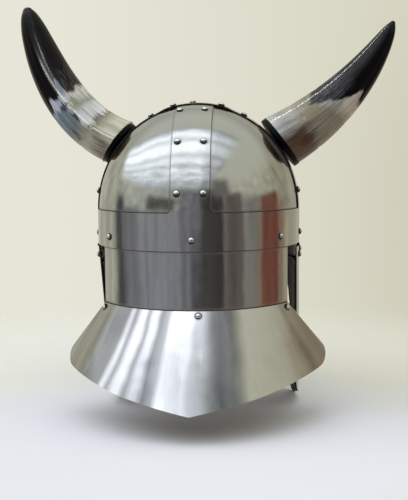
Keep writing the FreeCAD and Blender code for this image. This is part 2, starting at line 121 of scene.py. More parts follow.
# Room. A cream studio lit by a wide ceiling panel of strip lights, to the left of the photographer.
# Polished steel shows the room, so its furniture stands in the world too.
world = bpy.data.worlds.new("room")
scene.world = world
world.use_nodes = True
room = world.node_tree
room.nodes.clear()
ray = add(room, "TexCoord", out="Generated")
dx, dy, dz = add(room, "SeparateXYZ", {0: ray}, out=None)
back = add(room, "Math", (dy, -1.0), operation="MULTIPLY")
bearing = add(room, "Math", (dx, back), operation="ARCTAN2")
bearing = add(room, "Math", (bearing, 180 / math.pi), operation="MULTIPLY")
climb = add(room, "Math", {0: dz}, operation="ARCSINE")
climb = add(room, "Math", (climb, 180 / math.pi), operation="MULTIPLY")
wobble = add(room, "TexNoise", {"Vector": ray, "Scale": 7.0, "Detail": 2.0})

# Walls, by bearing round the room: 0.5 is behind the photographer and 0.75 is to the right
round_share = add(room, "Math", (bearing, 1 / 360, 0.5), operation="MULTIPLY_ADD")
walls = add(room, "ValToRGB", {0: round_share}, stops=[
    (0.00, (0.52, 0.50, 0.43, 1)), (0.19, (0.57, 0.56, 0.48, 1)), (0.27, (0.58, 0.60, 0.53, 1)),
    (0.50, (0.50, 0.51, 0.49, 1)), (0.66, (0.60, 0.59, 0.50, 1)), (0.76, (0.58, 0.56, 0.45, 1)),
    (0.84, (0.42, 0.38, 0.29, 1)), (1.00, (0.48, 0.45, 0.37, 1))])


def fenced(rims):
    """Share that is full inside soft rims: each is a measure, where it is gone and where it is full."""
    share = 1.0
    for measure, gone, full in rims:
        rim = add(room, "MapRange", (measure, gone, full), **smooth)
        share = add(room, "Math", (rim, share), operation="MULTIPLY")
    return share


def stand(behind, left, right, low, high, shade, soft):
    """A soft-edged box in degrees of bearing and climb: a thing that stands along the walls, and once a
    painted shadow on the seen wall.
    """
    share = fenced((
        (bearing, left - soft, left + soft), (bearing, right + soft, right - soft),
        (climb, low - soft, low + soft), (climb, high + soft, high - soft)))
    return add(room, "MixRGB", (share, behind, shade + (1,)))


for left, right, low, high, shade, soft in (
    (-96, -12, -95, -1, (0.315, 0.318, 0.360), 4),  # long bench on the left
    (-96, -74, -95, 2, (0.24, 0.24, 0.26), 5),  # its darker end
    (-60, -36, -95, -5, (0.355, 0.368, 0.425), 4),  # its paler middle
    (-62, -24, 0, 14, (0.12, 0.11, 0.10), 4),  # goods on the bench
    (-20, 12, -95, 27, (0.23, 0.23, 0.26), 4),  # the photographer
    (-4, 38, -95, -6, (0.07, 0.06, 0.065), 3),  # dark floor by the photographer
    (8, 38, -95, 26, (0.065, 0.06, 0.058), 4),  # doorway
    (38, 62, -95, 19, (0.15, 0.12, 0.115), 4),  # shelf right of the doorway
    (62, 86, -95, 12, (0.28, 0.27, 0.25), 4),  # lower shelf beside it
    (-110, -95, -95, 9, (0.085, 0.085, 0.09), 5),  # dark cupboard past the bench
    (80, 122, -95, 6, (0.32, 0.24, 0.18), 4),  # wooden chest on the right
    (86, 112, -95, 11, (0.23, 0.085, 0.062), 2),  # red-brown blind over the chest
):
    walls = stand(walls, left, right, low, high, shade, soft)

# Shelves and clutter along the walls break their reflection up
clutter = add(room, "TexNoise", {"Vector": ray, "Scale": 9.0, "Detail": 3.0})
clutter = add(room, "MapRange", (clutter, 0.3, 0.7, 0.72, 1.28))
walls = add(room, "VectorMath", {0: walls, 3: clutter}, operation="SCALE")

# The ceiling and its lights, laid out as a plan seen from the helmet. The rims are soft, because the
# panel is a sheet stretched over the strips.
rising = add(room, "Math", (dz, 0.02), operation="MAXIMUM")
plan_x = add(room, "Math", (dx, rising), operation="DIVIDE")
plan_y = add(room, "Math", (dy, rising), operation="DIVIDE")
warmth = add(room, "MapRange", (plan_x, -1.0, 2.5))
ceiling = add(room, "MixRGB", (warmth, (0.69, 0.72, 0.65, 1), (0.66, 0.65, 0.53, 1)))
fall = add(room, "MapRange", (plan_y, 0.75, 1.40, 1.0, 0.68))
ceiling = add(room, "VectorMath", {0: ceiling, 3: fall}, operation="SCALE")
ring_x = add(room, "Math", (plan_x, 0.1), operation="SUBTRACT")
ring_y = add(room, "Math", (plan_y, 1.75), operation="SUBTRACT")
ring_place = add(room, "CombineXYZ", (ring_x, ring_y, 0.0))
ring = add(room, "VectorMath", {0: ring_place}, operation="LENGTH", out="Value")
ring = add(room, "Math", (wobble, 0.16, ring), operation="MULTIPLY_ADD")
ring = add(room, "MapRange", (ring, 1.48, 3.98))
strips = [(0.04, 0.60), (0.08, 1.50), (0.112, 2.00), (0.152, 1.15), (0.20, 2.00), (0.26, 1.90),
          (0.308, 1.05), (0.36, 1.90), (0.408, 1.70), (0.44, 0.95), (0.488, 2.00), (0.544, 1.80),
          (0.568, 1.10), (0.608, 1.90), (0.66, 1.60), (0.72, 1.15), (0.84, 1.00), (1.00, 0.75)]
lit = add(room, "ValToRGB", {0: ring}, stops=[
    (place, (shade * 0.93, shade * 0.98, shade * 1.07, 1)) for place, shade in strips])
dimmer = add(room, "MapRange", (plan_x, 0.10, 0.34, 1.0, 0.56))
# The sheet sags between the strips, so its light is broken up along them
sag = add(room, "Math", (ring, 11.0), operation="MULTIPLY")
sag = add(room, "CombineXYZ", (plan_x, sag, 0.0))
blotches = add(room, "TexNoise", {"Vector": sag, "Scale": 2.2, "Detail": 3.0, "Roughness": 0.6})
blotches = add(room, "MapRange", (blotches, 0.60, 0.40, 0.0, 0.52))
outer = add(room, "MapRange", (ring, 0.28, 0.50))
blotches = add(room, "Math", (blotches, outer), operation="MULTIPLY")
blotches = add(room, "Math", (1.0, blotches), operation="SUBTRACT")
dimmer = add(room, "Math", (dimmer, blotches), operation="MULTIPLY")
lit = add(room, "VectorMath", {0: lit, 3: dimmer}, operation="SCALE")
panel = fenced((
    (plan_x, -3.3, -1.8), (plan_x, 0.75, 0.45), (plan_y, 1.30, 0.80), (ring, 1.0, 0.84), (ring, 0.0, 0.06)))
overhead = add(room, "MapRange", (climb, 20.0, 36.0), **smooth)
shell = add(room, "MixRGB", (overhead, walls, ceiling))
# An unlit olive beam crosses the ceiling just right of the panel
beam = fenced((
    (plan_x, 0.15, 0.38), (plan_x, 0.78, 0.60), (plan_y, -0.95, -0.75), (plan_y, -0.25, -0.50)))
shell = add(room, "MixRGB", (beam, shell, (0.40, 0.39, 0.33, 1)))
shell = stand(shell, 24, 48, 16, 35, (0.20, 0.19, 0.17), 5)
shell = add(room, "MixRGB", (panel, shell, lit))

# What the camera itself sees behind the object is a cream wall, warmer to the right, with a painted soft
# shadow on the right
wall_shade = add(room, "MapRange", (dx, -0.2, 0.2))
seen_wall = add(room, "MixRGB", (wall_shade, linear("#E7E5D8"), linear("#D5D3BF")))
# A painted soft shadow on the wall to the right
seen_wall = stand(seen_wall, 150, 172, -14, 6, (0.60, 0.585, 0.47), 9)
path = add(room, "LightPath", out=None)
straight = add(room, "Math", (path["Is Camera Ray"], path["Is Transmission Ray"]), operation="MAXIMUM")
seen = add(room, "MixRGB", (straight, shell, seen_wall))
add(room, "OutputWorld", {0: add(room, "Background", (seen, 1.0))}, out=None)

# Lamps. Bare tubes hang clear of the panel: four short ones across the line over the right horn, and two
# that run off behind the photographer. They draw the thin bright lines on the polished horns only: the
# panel outshines them on the steel, and they are too weak to light anything.
polished = bpy.data.collections.new("polished_horns")
for name, first, last, width, radiance in (
    ("overhead_tube", Vector((-0.60, 0.44, 1.32)), Vector((-0.22, 0.34, 1.32)), 0.036, 85.0),
    ("second_tube", Vector((-0.44, -0.24, 1.32)), Vector((-0.29, -0.30, 1.32)), 0.050, 9.0),
    ("third_tube", Vector((-0.33, -0.60, 1.32)), Vector((-0.19, -0.68, 1.32)), 0.050, 9.0),
    ("fourth_tube", Vector((-0.17, -0.84, 1.32)), Vector((-0.03, -0.90, 1.32)), 0.050, 8.0),
    ("far_tube", Vector((-2.80, -3.80, 1.30)), Vector((-1.00, -4.80, 1.30)), 0.080, 190.0),
    ("nearer_tube", Vector((-0.72, -2.70, 1.30)), Vector((-0.33, -1.72, 1.30)), 0.040, 120.0),
):
    tube = bpy.data.lights.new(name, "AREA")
    tube.shape = "RECTANGLE"
    tube.size = (last - first).length
    tube.size_y = width
    tube.energy = radiance * math.pi * tube.size * width
    lamp = bpy.data.objects.new(name, tube)
    scene.collection.objects.link(lamp)
    lamp.location = (first + last) / 2
    run = (last - first).normalized()
    away = lamp.location - run * lamp.location.dot(run)
    away.normalize()
    lamp.rotation_mode = "QUATERNION"
    lamp.rotation_quaternion = Matrix((run, away.cross(run), away)).transposed().to_quaternion()
    lamp.visible_camera = False
    lamp.visible_diffuse = False
    lamp.light_linking.receiver_collection = polished

# Table top. A pale painted round top just under the lowest points of the helmet; its rim melts into
# the wall colour. Faint cloudiness keeps it from being one flat tone.
rings, spokes = 24, 96
radius = np.linspace(0, 0.9, rings)[1:, None]
turn = np.linspace(0, 2 * np.pi, spokes, endpoint=False)[None, :]
floor_height = cad_box[0][2] - 0.0004
disc = np.stack([radius * np.cos(turn), radius * np.sin(turn), np.full((rings - 1, spokes), floor_height)],
                -1)
points = np.vstack([[(0, 0, floor_height)], disc.reshape(-1, 3)])
spoke = np.arange(spokes)
after = (spoke + 1) % spokes
fans = [(0, 1 + a, 1 + b) for a, b in zip(spoke, after)]
row = (1 + np.arange(rings - 2) * spokes)[:, None]
quads = np.stack([row + spoke, row + spokes + spoke, row + spokes + after, row + after], -1).reshape(-1, 4)
table_mesh = bpy.data.meshes.new("table_top")
table_mesh.from_pydata(points.tolist(), [], fans + quads.tolist())
table = bpy.data.objects.new("table_top", table_mesh)
scene.collection.objects.link(table)
table_paint, tree = new_material("matt_table_paint")
place = add(tree, "TexCoord", out="Object")
flat_place = add(tree, "VectorMath", (place, (1, 1, 0)), operation="MULTIPLY")
reach = add(tree, "VectorMath", {0: flat_place}, operation="LENGTH", out="Value")
pool_place = add(tree, "VectorMath", (flat_place, (0, 0.16, 0)), operation="ADD")
pool = add(tree, "VectorMath", {0: pool_place}, operation="LENGTH", out="Value")
side = add(tree, "SeparateXYZ", {0: place})
side_share = add(tree, "MapRange", (side, -0.25, 0.25))
far_paint = add(tree, "MixRGB", (side_share, linear("#F9F7EC"), linear("#EDEAD9")))
spread = add(tree, "MapRange", (pool, 0.16, 0.34), **smooth)
cloud = add(tree, "TexNoise", {"Vector": place, "Scale": 6.0, "Detail": 2.0})
near_paint = add(tree, "MixRGB", (cloud, linear("#F8F7FA"), linear("#FEFDFF")))
paint = add(tree, "MixRGB", (spread, near_paint, far_paint))
matt = add(tree, "BsdfDiffuse", {"Color": paint})
clear = add(tree, "BsdfTransparent")
rim = add(tree, "MapRange", (reach, 0.34, 0.70), **smooth)
add(tree, "OutputMaterial", {0: add(tree, "MixShader", (rim, matt, clear))}, out=None)
table_mesh.materials.append(table_paint)


# Steel sheet. The plates are cold-formed mild steel, brushed bright along one direction and waxed. The
# hammer leaves soft waves three to six centimetres apart, which is what bends the reflections. The bowl
# is half an ellipsoid on an oval band, of these half-axes and heights.
half_width, half_length, crown_rise, band_height = 0.103, 0.118, 0.1055, 0.035


def steel(name, tone, roughness, grain, wave, tint=None):
    """Brushed mild steel: a wave bump, fine brush lines along the climb of the sheet, pits, and grime with
    painted shade in corners and under edges.
    """
    made, tree = new_material(name)
    place = add(tree, "TexCoord", out="Object")
    axes = add(tree, "SeparateXYZ", {0: place}, out=None)
    spin = add(tree, "Math", (axes[0], axes[1]), operation="ARCTAN2")
    arc = add(tree, "Math", (spin, 0.11), operation="MULTIPLY")
    # Brush lines are about half a millimetre wide, drawn twice as coarse so that they show
    strokes = add(tree, "CombineXYZ", (add(tree, "Math", (arc, grain[0]), operation="MULTIPLY"),
                                       add(tree, "Math", (axes[2], grain[1]), operation="MULTIPLY"), 0.3))
    lines = add(tree, "TexNoise", {"Vector": strokes, "Scale": 1.0, "Detail": 3.0, "Roughness": 0.6})
    waves = add(tree, "TexNoise", {"Vector": place, "Scale": 21.0, "Detail": 2.0, "Roughness": 0.40})
    # Pits are about a millimetre across and sparse
    cells = add(tree, "TexVoronoi", {"Vector": place, "Scale": 130.0}, feature="F1", out=None)
    pit_size = add(tree, "MapRange", (cells["Color"], 0.88, 1.0, 0.0, 0.20))
    pits = add(tree, "Math", (cells["Distance"], pit_size), operation="LESS_THAN")
    pits = add(tree, "Math", (pits, 0.75), operation="MULTIPLY")
    # Painted shade with some grime: darker in corners and under edges, where ambient occlusion finds shelter
    shelter = add(tree, "AmbientOcclusion", {"Distance": 0.0035}, samples=8, only_local=False, out="AO")
    painted_shade_and_grime = add(tree, "MapRange", (shelter, 0.58, 0.97, 0.97, 0.0), **smooth)
    dirt_and_painted_shade = add(tree, "Math", (painted_shade_and_grime, pits), operation="MAXIMUM")
    bright = tuple(c * 1.04 for c in tone)
    dull = tuple(c * 0.92 for c in tone)
    worn = add(tree, "MixRGB", (lines, bright + (1,), dull + (1,)))
    if tint:
        worn, painted_dark_share = tint(tree, place, worn)
        dirt_and_painted_shade = add(tree, "Math", (dirt_and_painted_shade, painted_dark_share), operation="MAXIMUM")
    colour = add(tree, "MixRGB", (dirt_and_painted_shade, worn, linear("#15120F")))
    # Pits, grime and painted shade are no metal and have no shine of their own
    bare = add(tree, "Math", (1.0, dirt_and_painted_shade), operation="SUBTRACT")
    shine = add(tree, "Math", (bare, 0.5), operation="MULTIPLY")
    sheen = add(tree, "MapRange", (lines, 0.3, 0.7, roughness - 0.03, roughness + 0.04))
    sheen = add(tree, "Math", (painted_shade_and_grime, 0.35, sheen), operation="MULTIPLY_ADD")
    hammer = add(tree, "Bump", {"Height": waves, "Strength": 1.0, "Distance": wave})
    brush = add(tree, "Bump", {"Height": lines, "Strength": 0.35, "Distance": 0.00003, "Normal": hammer})
    body = add(tree, "BsdfPrincipled", {"Base Color": colour, "Metallic": bare, "Roughness": sheen,
                                        "Specular IOR Level": shine, "Normal": brush})
    add(tree, "OutputMaterial", {0: body}, out=None)
    return made


def painted_disc_reflection(tree, place, worn):
    """Painted reflection of the black disc and horn: dark round each horn's foot on the bowl. Returns colour
    and share.
    """
    painted_dark_share = 0.0
    for foot, clean, dark in (((-0.0823, 0.013, 0.0984), 0.034, 0.0235),
                              ((0.0826, 0.007, 0.0979), 0.050, 0.0280)):
        away = add(tree, "VectorMath", (place, foot), operation="SUBTRACT")
        away = add(tree, "VectorMath", {0: away}, operation="LENGTH", out="Value")
        share = add(tree, "MapRange", (away, clean, dark, 0.0, 0.95), **smooth)
        painted_dark_share = add(tree, "Math", (share, painted_dark_share), operation="MAXIMUM")
    return worn, painted_dark_share


def away_from_bowl(tree, place):
    """Direction away from the bowl at each place: its dome above the band, and level below its top."""
    raised = add(tree, "VectorMath", (place, (0, 0, band_height)), operation="SUBTRACT")
    raised = add(tree, "VectorMath", (raised, (-1, -1, 0)), operation="MAXIMUM")
    outward = add(tree, "VectorMath", (raised, (half_width ** -2, half_length ** -2, crown_rise ** -2)),
                  operation="MULTIPLY")
    return add(tree, "VectorMath", {0: outward}, operation="NORMALIZE")


def edge_scale_and_inside_shade(tree, place, worn):
    """Dark on whatever does not face away from the bowl: black scale on the cut edges, and painted shade in
    the seams and all over the inside.
    """
    worn, painted_dark_share = painted_disc_reflection(tree, place, worn)
    turned = add(tree, "NewGeometry", out="True Normal")
    turned = add(tree, "VectorTransform", {0: turned}, vector_type="NORMAL", convert_from="WORLD",
                 convert_to="OBJECT")
    facing = add(tree, "VectorMath", (turned, away_from_bowl(tree, place)), operation="DOT_PRODUCT",
                 out="Value")
    edge = add(tree, "MapRange", (facing, 0.75, 0.6, 0.0, 0.96))
    return worn, add(tree, "Math", (edge, painted_dark_share), operation="MAXIMUM")


band_steel = steel("brushed_band_steel", (0.555, 0.56, 0.53), 0.11, (900, 60), 0.0006, edge_scale_and_inside_shade)
strap_steel = steel("brushed_strap_steel", (0.585, 0.59, 0.56), 0.13, (900, 40), 0.0006, edge_scale_and_inside_shade)
plate_steel = steel("cold_formed_plate_steel", (0.545, 0.555, 0.525), 0.12, (800, 40), 0.0008, edge_scale_and_inside_shade)
coat(band_steel, "brow_band")
coat(strap_steel, "ear_strap")
coat(plate_steel, "rear_left_bowl_plate", "rear_right_bowl_plate", "front_left_bowl_plate",
     "front_right_bowl_plate", "nape_plate", "nasal_guard")


# Neck flare. The same sheet, with painted reflection streaks, and brown at its right-hand point.
def reflection_streaked_and_browned(tree, place, worn):
    """Painted reflection streaks down the slope, by bearing round the neck, and brown at the right-hand
    point.
    """
    axes = add(tree, "SeparateXYZ", {0: place}, out=None)
    ahead = add(tree, "Math", (axes[1], -half_width / half_length), operation="MULTIPLY")
    spin = add(tree, "Math", (axes[0], ahead), operation="ARCTAN2")
    waver = add(tree, "TexNoise", {"Vector": place, "Scale": 14.0, "Detail": 2.0})
    # The ramp runs from 80 degrees left to 80 degrees right of the rear; streaks lean with the height
    spin = add(tree, "Math", (axes[2], -0.55, spin), operation="MULTIPLY_ADD")
    spin = add(tree, "Math", (waver, 0.12, spin), operation="MULTIPLY_ADD")
    spin = add(tree, "MapRange", (spin, math.radians(-80) + 0.115, math.radians(80) + 0.115))
    # Brightness of each painted reflection streak, by degrees of bearing
    painted_reflection_streaks = [(-80, 0.70), (-52, 0.66), (-45, 0.32), (-37, 0.36), (-34.5, 1.0), (-32, 0.42), (-29, 1.0),
             (-26.5, 1.0), (-24, 0.42), (-21.5, 1.0), (-19.5, 1.0), (-17, 0.40), (-13, 0.60),
             (-10.5, 1.25), (-1.0, 1.25), (1.5, 0.80), (5, 0.66), (9, 0.40), (13, 0.31), (18, 0.36),
             (24, 0.84), (80, 0.74)]
    shares = add(tree, "ValToRGB", {0: spin}, stops=[
        ((at + 80) / 160, (low, low, low * (1.03 if -35 < at < 6 else 0.96), 1)) for at, low in painted_reflection_streaks])
    worn = add(tree, "MixRGB", (1.0, worn, shares), blend_type="MULTIPLY")
    haze = add(tree, "TexNoise", {"Vector": place, "Scale": 30.0, "Detail": 3.0})
    reach = add(tree, "Math", (haze, 0.05, axes[0]), operation="MULTIPLY_ADD")
    share = add(tree, "MapRange", (reach, 0.075, 0.15, 0.0, 0.6), **smooth)
    worn = add(tree, "MixRGB", (share, worn, linear("#8E7A66")))
    return edge_scale_and_inside_shade(tree, place, worn)


flare_steel = steel("waxed_flare_steel", (0.71, 0.71, 0.68), 0.12, (700, 40), 0.0006, reflection_streaked_and_browned)
coat(flare_steel, "neck_flare")


# Cheek plates and their hinges. Thinner handling has left the plates a little duller than the bowl; the
# hinge leaves are painted near black as the shade of the slot they sit in.
def painted_shade_black(tree, place, worn):
    """Painted shade: black all over, a little lighter where the grain stands up."""
    grain = add(tree, "TexNoise", {"Vector": place, "Scale": 300.0, "Detail": 3.0})
    return worn, add(tree, "MapRange", (grain, 0.35, 0.7, 0.95, 0.75))


cheek_steel = steel("brushed_cheek_steel", (0.535, 0.54, 0.51), 0.14, (700, 60), 0.0006, edge_scale_and_inside_shade)
hinge_steel = steel("blackened_hinge_steel", (0.055, 0.050, 0.046), 0.35, (900, 900), 0.0002, painted_shade_black)
coat(cheek_steel, "left_cheek_plate", "right_cheek_plate")
for side in ("left", "right"):
    coat(hinge_steel, side + "_band_leaf", side + "_cheek_leaf", side + "_hinge_pin")


# Rivets. Round heads set cold and rubbed bright; the lower half of each head is painted dark as shade, and
# the ring at its foot as a contact shadow.
def shaded_below(tree, place, worn):
    """Painted shade on the part of each head that faces further down than its sheet, and painted contact
    shadow in the ring at its foot.
    """
    outward = away_from_bowl(tree, place)
    turned = add(tree, "NewGeometry", out="Normal")
    turned = add(tree, "VectorTransform", {0: turned}, vector_type="NORMAL", convert_from="WORLD",
                 convert_to="OBJECT")
    dip = add(tree, "VectorMath", (turned, outward), operation="SUBTRACT")
    dip = add(tree, "SeparateXYZ", {0: dip}, out=2)
    under = add(tree, "MapRange", (dip, -0.10, -0.38, 0.0, 0.95), **smooth)
    # Heads near the crown face up and get no painted shade
    level = add(tree, "SeparateXYZ", {0: outward}, out=2)
    level = add(tree, "MapRange", (level, 0.95, 0.6))
    under = add(tree, "Math", (under, level), operation="MULTIPLY")
    facing = add(tree, "VectorMath", (turned, outward), operation="DOT_PRODUCT", out="Value")
    foot = add(tree, "MapRange", (facing, 0.66, 0.46, 0.0, 0.97), **smooth)
    return worn, add(tree, "Math", (under, foot), operation="MAXIMUM")


rivet_steel = steel("worn_rivet_steel", (0.78, 0.77, 0.75), 0.15, (300, 300), 0.0001, shaded_below)
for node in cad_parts:
    if node.endswith("rivets") or node in ("crown_rivet", "liner_burrs"):
        coat(rivet_steel, node)

# Screws and washers that hold the horns from inside: plain zinc-grey fasteners.
fastener_steel = steel("turned_fastener_steel", (0.52, 0.52, 0.51), 0.30, (600, 600), 0.0001)
coat(fastener_steel, "left_horn_screw", "right_horn_screw", "left_horn_washer", "right_horn_washer")

# Base discs. Turned wood, lacquered gloss black, with a faint ring grain under the lacquer.
disc_wood, tree = new_material("black_lacquered_wood")
place = add(tree, "TexCoord", out="Object")
grain = add(tree, "TexNoise", {"Vector": place, "Scale": 260.0, "Detail": 4.0})
shade = add(tree, "MixRGB", (grain, linear("#020202"), linear("#080706")))
gloss = add(tree, "MapRange", (grain, 0.0, 1.0, 0.30, 0.45))
relief = add(tree, "Bump", {"Height": grain, "Strength": 0.2, "Distance": 0.0002})
body = add(tree, "BsdfPrincipled", {"Base Color": shade, "Roughness": gloss, "Normal": relief,
                                    "Specular IOR Level": 0.08})
add(tree, "OutputMaterial", {0: body}, out=None)
coat(disc_wood, "left_base_disc", "right_base_disc")

# Plugs inside the horns. Plain beech, glued in; only their end grain can be seen if a horn is off.
plug_wood, tree = new_material("plain_beech")
place = add(tree, "TexCoord", out="Object")
stretched = add(tree, "VectorMath", (place, (60, 400, 400)), operation="MULTIPLY")
grain = add(tree, "TexNoise", {"Vector": stretched, "Scale": 1.0, "Detail": 4.0})
shade = add(tree, "MixRGB", (grain, linear("#B98F62"), linear("#D6B485")))
relief = add(tree, "Bump", {"Height": grain, "Strength": 0.3, "Distance": 0.0002})
body = add(tree, "BsdfPrincipled", {"Base Color": shade, "Roughness": 0.6, "Normal": relief})
add(tree, "OutputMaterial", {0: body}, out=None)
coat(plug_wood, "left_horn_plug", "right_horn_plug")


def put_mesh(name, points, faces, body, material):
    """Smooth mesh of one material, linked to the scene, that rides on a body."""
    mesh = bpy.data.meshes.new(name)
    mesh.from_pydata(points.tolist(), [], faces)
    mesh.shade_smooth()
    mesh.materials.append(material)
    piece = bpy.data.objects.new(name, mesh)
    scene.collection.objects.link(piece)
    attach(piece, body)
    return piece


def put_grid(name, grid, body, material, close_across=False, close_along=False, ends=(), attribute=None):
    """Mesh of a grid of points (rows along, columns across): one quad per cell, wrapped where closed.

    Ends lists rows to close with a fan to a pole point, and attribute is a vector carried by each point.
    """
    rows, columns = grid.shape[:2]
    index = np.arange(rows * columns).reshape(rows, columns)
    lower = index if close_along else index[:-1]
    upper = np.roll(index, -1, 0) if close_along else index[1:]
    if close_across:
        right_lower, right_upper = np.roll(lower, -1, 1), np.roll(upper, -1, 1)
    else:
        lower, upper, right_lower, right_upper = lower[:, :-1], upper[:, :-1], lower[:, 1:], upper[:, 1:]
    faces = np.stack([lower, right_lower, right_upper, upper], -1).reshape(-1, 4).tolist()
    points = grid.reshape(-1, 3)
    carried = attribute.reshape(-1, 3) if attribute is not None else None
    for row_place in ends:
        ring = index[row_place]
        pole = len(points)
        points = np.vstack([points, grid[row_place].mean(0)])
        if carried is not None:
            carried = np.vstack([carried, attribute[row_place].mean(0)])
        following = np.roll(ring, -1)
        if row_place == 0:
            faces += np.stack([np.full(columns, pole), following, ring], -1).tolist()
        else:
            faces += np.stack([np.full(columns, pole), ring, following], -1).tolist()
    # A grid laid out the other way round encloses a negative volume, so its faces are turned outwards
    corners = points[np.array([(face + face[2:])[:4] for face in faces])]
    halves = np.cross(corners[:, 1], corners[:, 2]) + np.cross(corners[:, 2], corners[:, 3])
    if np.sum(corners[:, 0] * halves) < 0:
        faces = [face[::-1] for face in faces]
    piece = put_mesh(name, points, faces, body, material)
    if carried is not None:
        layer = piece.data.attributes.new("grown", "FLOAT_VECTOR", "POINT")
        layer.data.foreach_set("vector", carried.astype(np.float32).ravel())
    return piece


# Horns. Two hollow cow horns, filed and polished. The wall is white at the root, runs through olive and
# cream, and ends in black; each is glued over its plug and stands on its disc.
disc_thickness, horn_wall, horn_root, layer_gap = 0.005, 0.0045, 0.008, 0.0001
horn_shapes = {
    "left": dict(side=-1, tilt=37.5, forward=0.013, radius=0.0242, length=0.174, root=17.1, tip=72.6,
                 early=0.94, turn=6.0, slope=36.0,
                 shares=(1, 1, .985, .97, .94, .895, .835, .76, .655, .51, .42, .33, .19)),
    "right": dict(side=1, tilt=37.0, forward=0.007, radius=0.0288, length=0.167, root=27.4, tip=64.6,
                  early=-0.075, turn=3.5, slope=27.0,
                  shares=(1, .96, .915, .865, .8, .73, .645, .55, .44, .31, .245, .175, .08)),
}
stations = np.array((0, .1, .2, .3, .4, .5, .6, .7, .8, .9, .94, .97, 1))


def smooth_through(x, y, at):
    """Cubic Hermite curve through the points (x, y), each slope the mean of its two neighbours' slopes."""
    slopes = np.gradient(np.asarray(y, float), x)
    cell = np.clip(np.searchsorted(x, at, side="right") - 1, 0, len(x) - 2)
    width = x[cell + 1] - x[cell]
    t = (at - x[cell]) / width
    y = np.asarray(y, float)
    return ((2 * t ** 3 - 3 * t ** 2 + 1) * y[cell] + (t ** 3 - 2 * t ** 2 + t) * width * slopes[cell]
            + (3 * t ** 2 - 2 * t ** 3) * y[cell + 1] + (t ** 3 - t ** 2) * width * slopes[cell + 1])


def horn_grid(shape):
    """Closed horn surface: circles carried along a curve whose heading turns from root to tip.

    Rows go from the tip down the outside to the disc, over the rim, and up the hollow inside. Also returns
    for each point its place on a straight cylinder: toward the back, toward the crown, and along.
    """
    climb = math.atan(math.tan(math.radians(shape["tilt"])) * crown_rise / half_width)
    reach = math.sqrt(1 - (shape["forward"] / half_length) ** 2)
    seat = np.array((shape["side"] * half_width * reach * math.cos(climb), shape["forward"],
                     band_height + crown_rise * reach * math.sin(climb)))
    out = np.array((seat[0] / half_width ** 2, seat[1] / half_length ** 2,
                    (seat[2] - band_height) / crown_rise ** 2))
    out = out / np.linalg.norm(out)
    base = seat + out * (layer_gap + disc_thickness)
    forward = math.radians(shape["turn"])
    level = np.array((shape["side"] * math.cos(forward), math.sin(forward), 0))
    up = np.array((0, 0, 1.0))
    normal = np.cross(level, up)
    across = -normal if normal[1] > 0 else normal
    total = shape["length"] + horn_root
    steps = 400

    def heading(share):
        """Unit vectors along the horn at shares of its length, turned up from the level."""
        eased = share + shape["early"] * share * (1 - share)
        angle = np.radians(shape["root"] + (shape["tip"] - shape["root"]) * eased)
        return level * np.cos(angle)[..., None] + up * np.sin(angle)[..., None]

    moves = heading((np.arange(steps) + 0.5) / steps) * total / steps
    start = base - heading(0.0) * horn_root
    middles = np.vstack([start, start + np.cumsum(moves, 0)])
    theta = np.linspace(0, 2 * np.pi, 96, endpoint=False)

    def ring_at(s, inset):
        """Circle of points at shares s of the length, drawn in by inset."""
        s = np.atleast_1d(s)
        place = np.stack([np.interp(s, np.linspace(0, 1, steps + 1), middles[:, i]) for i in range(3)], -1)
        ahead = heading(s)
        inner_side = np.cross(normal, ahead)
        radius = smooth_through(stations, shape["shares"], s) * shape["radius"] - inset
        # Growth rings: shallow grooves across the horn near its root
        distance = s * total - horn_root
        groove = np.exp(-((distance - 0.028) / 0.0012) ** 2) * 0.0005
        groove += np.exp(-((distance - 0.061) / 0.002) ** 2) * 0.00025
        radius = radius - groove * (inset == 0)
        around = (across[None, None, :] * np.cos(theta)[None, :, None]
                  + inner_side[:, None, :] * np.sin(theta)[None, :, None])
        grid = place[:, None, :] + around * radius[:, None, None]
        carried = np.stack(np.broadcast_arrays(
            np.cos(theta)[None, :] * shape["radius"], np.sin(theta)[None, :] * shape["radius"],
            distance[:, None]), -1)
        return grid, carried, ahead, place

    tip_grid, tip_carried, tip_ahead, tip_place = ring_at(1.0, 0)
    slope = math.radians(shape["slope"])
    tip_radius = shape["shares"][-1] * shape["radius"]
    ball = tip_radius / math.cos(slope)
    lift = np.linspace(math.pi / 2, slope, 12)[1:-1, None, None]
    cap = (tip_place + tip_ahead * (ball * np.sin(lift) - tip_radius * math.tan(slope))
           + (tip_grid - tip_place) * np.cos(lift) / math.cos(slope))
    cap_carried = np.repeat(tip_carried, len(lift), 0)
    outer, outer_carried, _, _ = ring_at(np.linspace(1, 0, 150), 0)
    inner, inner_carried, _, _ = ring_at(np.linspace(0, 0.4, 30), horn_wall)

    def stop_at_disc(grid):
        """Slide the points that lie under the disc's face out to it, along the horn's root heading."""
        slide = heading(0.0)
        depth = (grid - base) @ out - layer_gap
        push = np.where(depth < 0, -depth / (slide @ out), 0)
        return grid + slide * push[..., None]

    grid = np.concatenate([cap, stop_at_disc(outer), stop_at_disc(inner)])
    carried = np.concatenate([cap_carried, outer_carried, inner_carried])
    return grid, carried


